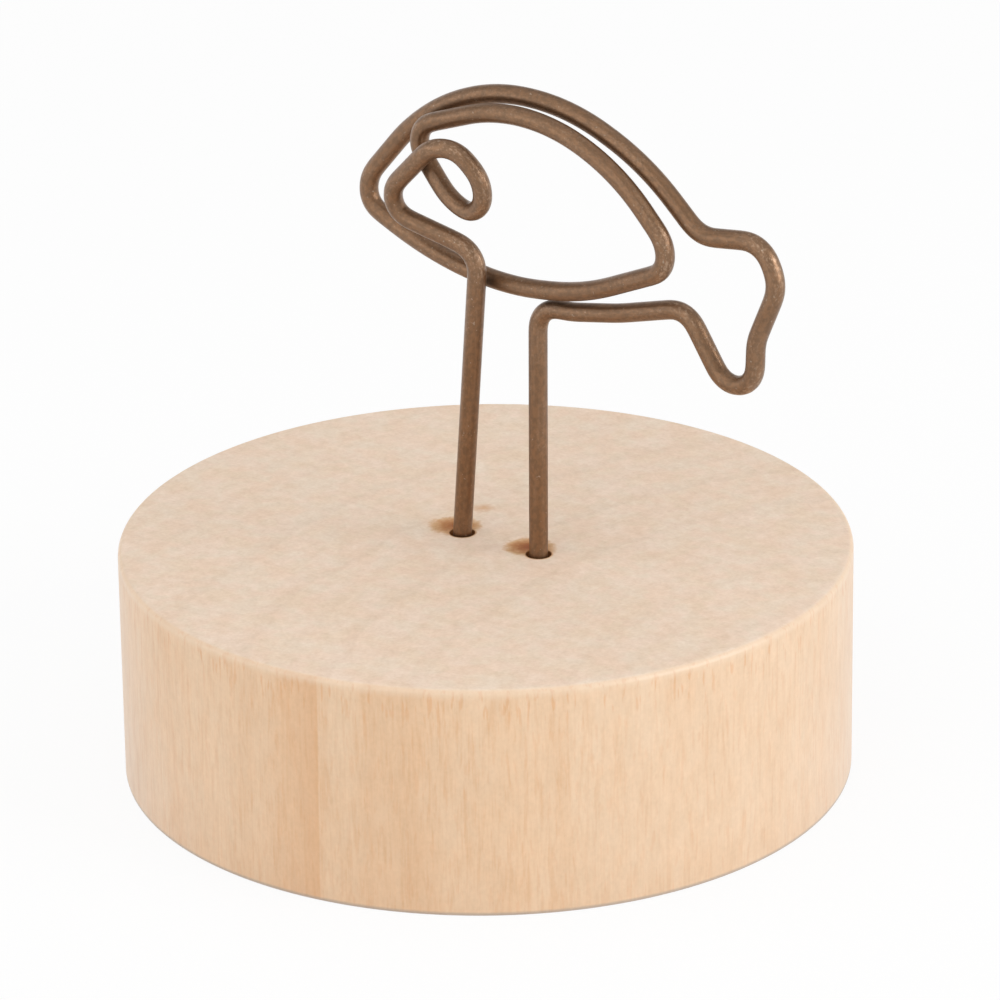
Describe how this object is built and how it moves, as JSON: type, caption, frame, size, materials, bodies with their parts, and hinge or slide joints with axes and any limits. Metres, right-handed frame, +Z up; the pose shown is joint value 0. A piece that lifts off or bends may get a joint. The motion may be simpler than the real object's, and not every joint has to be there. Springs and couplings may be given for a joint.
{
  "type": "memo clip holder",
  "caption": "Round wooden base carrying one bent metal wire that loops in layers to hold a card or memo upright.",
  "frame": {"origin": "centre of the base's flat underside, on the plane that the holder rests on", "axes": "+Z up out of the table; +X along the two feet towards the tail end of the wire; -Y towards the front layer of the wire"},
  "size_m": [0.06, 0.06, 0.0592],
  "materials": {
    "wood": "sanded, clear matt finish, grain upright on the side",
    "wire": "antique bronze, satin",
    "adhesive": "set adhesive, amber"
  },
  "bodies": {
    "root": {"wood_base": "wood", "wire_clip": "wire", "adhesive_tail_side": "adhesive", "adhesive_head_side": "adhesive"}
  },
  "joints": []
}
